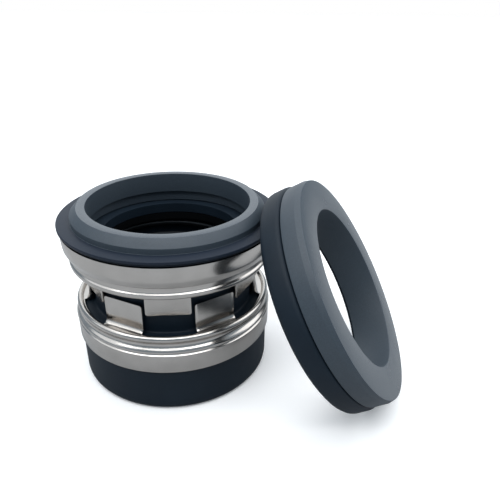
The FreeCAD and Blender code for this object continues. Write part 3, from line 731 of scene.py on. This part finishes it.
def shade_dark_spring_steel():
    """Spring wire and its seat rings: satin, with their colour painted dark as the shade inside the
    bellows.
    """
    c = bpy.context.scene.seal_colours
    made, tree, shader = new_material("drawn spring wire")
    # To the eye: dark satin metal that barely shows inside the bore; the dark colour is painted
    # shade
    place = add_node(tree, "ShaderNodeTexCoord").outputs["Object"]
    # Die marks and handling, about 0.4 mm
    marks = add_node(tree, "ShaderNodeTexNoise", {"Scale": 1 / (0.4 * MM), "Detail": 2.0},
                     Vector=place)
    polish = add_node(tree, "ShaderNodeMapRange", {"To Min": 0.45, "To Max": 0.6},
                      Value=marks.outputs["Fac"])
    tree.links.new(polish.outputs["Result"], shader.inputs["Roughness"])
    shader.inputs["Base Color"].default_value = (*c.wire, 1.0)
    shader.inputs["Metallic"].default_value = 1.0
    return made


def studio_paper(glow):
    """Matt background paper: white to the camera, and grey in what it throws on the seal."""
    c = bpy.context.scene.seal_colours
    made, tree, shader = new_material("matt background paper")
    # To the eye: plain white without an edge, and soft shadows where the seal stands
    seen = add_node(tree, "ShaderNodeLightPath").outputs["Is Camera Ray"]
    tint = add_node(tree, "ShaderNodeMix", {"data_type": "RGBA"}, Factor=seen)
    tint.inputs[COLOUR_A].default_value = (*c.floor_glow, 1.0)
    tint.inputs[COLOUR_B].default_value = (*c.floor, 1.0)
    tree.links.new(tint.outputs[COLOUR_OUT], shader.inputs["Base Color"])
    lift = add_node(tree, "ShaderNodeMapRange", {"To Max": glow}, Value=seen)
    tree.links.new(lift.outputs["Result"], shader.inputs["Emission Strength"])
    shader.inputs["Emission Color"].default_value = (*c.white, 1.0)
    shader.inputs["Roughness"].default_value = 0.9
    return made


def area_light(name, degrees, height, distance, width, depth, power):
    """Soft light at a bearing, aimed at the head, its width level."""
    lamp = bpy.data.lights.new(name, "AREA")
    lamp.shape = "RECTANGLE"
    lamp.size = width
    lamp.size_y = depth
    lamp.energy = power
    light = bpy.data.objects.new(name, lamp)
    bearing = math.radians(degrees)
    place = Vector((math.sin(bearing) * distance, -math.cos(bearing) * distance, height))
    aim = Vector((0, 0, RING_LOW.z)) - place
    turn = aim.to_track_quat("-Z", "Y").to_matrix().to_4x4()
    light.matrix_world = Matrix.Translation(place) @ turn
    bpy.context.scene.collection.objects.link(light)


def studio_walls(strength):
    """Walls that light the seal dimly, and that the camera sees as white."""
    c = bpy.context.scene.seal_colours
    world = bpy.data.worlds.new("studio")
    world.use_nodes = True
    tree = world.node_tree
    walls = tree.nodes["Background"]
    seen = add_node(tree, "ShaderNodeLightPath").outputs["Is Camera Ray"]
    level = add_node(tree, "ShaderNodeMapRange", {"To Min": strength, "To Max": 1.0}, Value=seen)
    tint = add_node(tree, "ShaderNodeMix", {"data_type": "RGBA"}, Factor=seen)
    tint.inputs[COLOUR_A].default_value = (*c.daylight, 1.0)
    tint.inputs[COLOUR_B].default_value = (*c.white, 1.0)
    tree.links.new(tint.outputs[COLOUR_OUT], walls.inputs["Color"])
    tree.links.new(level.outputs["Result"], walls.inputs["Strength"])
    return world


class SCENE_OT_seal_stage(bpy.types.Operator):
    """Set up the floor, the soft lights and the camera"""
    bl_idname = "scene.seal_stage"
    bl_label = "Stage"

    def execute(self, context):
        s = context.scene.seal_stage
        bm = bmesh.new()
        bmesh.ops.create_grid(bm, x_segments=1, y_segments=1, size=s.floor_size / 2)
        mesh = bpy.data.meshes.new("floor")
        bm.to_mesh(mesh)
        bm.free()
        floor = bpy.data.objects.new("floor", mesh)
        mesh.materials.append(studio_paper(s.paper_glow))
        context.scene.collection.objects.link(floor)

        for name, numbers in LIGHTS.items():
            area_light(name, *numbers)
        ceiling = bpy.data.lights.new("ceiling", "SUN")
        ceiling.energy = s.ceiling
        ceiling.angle = s.ceiling_spread
        overhead = bpy.data.objects.new("ceiling", ceiling)
        context.scene.collection.objects.link(overhead)
        context.scene.world = studio_walls(s.walls)
        context.scene.view_settings.view_transform = "Standard"

        lens = bpy.data.cameras.new("camera")
        lens.sensor_width = SENSOR
        lens.lens = s.lens
        lens.shift_x = s.shift_x
        lens.shift_y = s.shift_y
        lens.clip_start = NEAREST
        camera = bpy.data.objects.new("camera", lens)
        place = Matrix.Translation((math.sin(s.camera_bearing) * s.camera_distance,
                                    -math.cos(s.camera_bearing) * s.camera_distance,
                                    s.camera_height))
        turn = Matrix.Rotation(-s.aim_bearing, 4, "Z")
        tilt = Matrix.Rotation(math.pi / 2 - s.aim_tilt, 4, "X")
        camera.matrix_world = place @ turn @ tilt @ Matrix.Rotation(s.roll, 4, "Z")
        context.scene.collection.objects.link(camera)
        context.scene.camera = camera
        return {"FINISHED"}


PIECES = [
    MESH_OT_seal_rotating_ring,
    MESH_OT_seal_bellows,
    MESH_OT_seal_shells,
    MESH_OT_seal_spring,
    MESH_OT_seal_seat,
    SCENE_OT_seal_stage,
]


class VIEW3D_PT_shaft_seal(bpy.types.Panel):
    """Buttons for the seal's pieces, and their sizes and colours"""
    bl_idname = "VIEW3D_PT_shaft_seal"
    bl_label = "Shaft Seal"
    bl_space_type = "VIEW_3D"
    bl_region_type = "UI"
    bl_category = "Shaft Seal"

    def draw(self, context):
        for operator in PIECES:
            self.layout.operator(operator.bl_idname)
        for name, group in GROUPS.items():
            box = self.layout.box()
            box.label(text=group.bl_rna.description)
            for size in group.__annotations__:
                box.prop(getattr(context.scene, name), size)


CLASSES = [*GROUPS.values(), *PIECES, VIEW3D_PT_shaft_seal]


def register():
    for kept in CLASSES:
        bpy.utils.register_class(kept)
    for name, group in GROUPS.items():
        setattr(bpy.types.Scene, name, bpy.props.PointerProperty(type=group))


def unregister():
    for name in GROUPS:
        delattr(bpy.types.Scene, name)
    for kept in reversed(CLASSES):
        bpy.utils.unregister_class(kept)


def main():
    register()
    for operator in PIECES:
        group, name = operator.bl_idname.split(".")
        getattr(getattr(bpy.ops, group), name)()


if __name__ == "__main__":
    main()
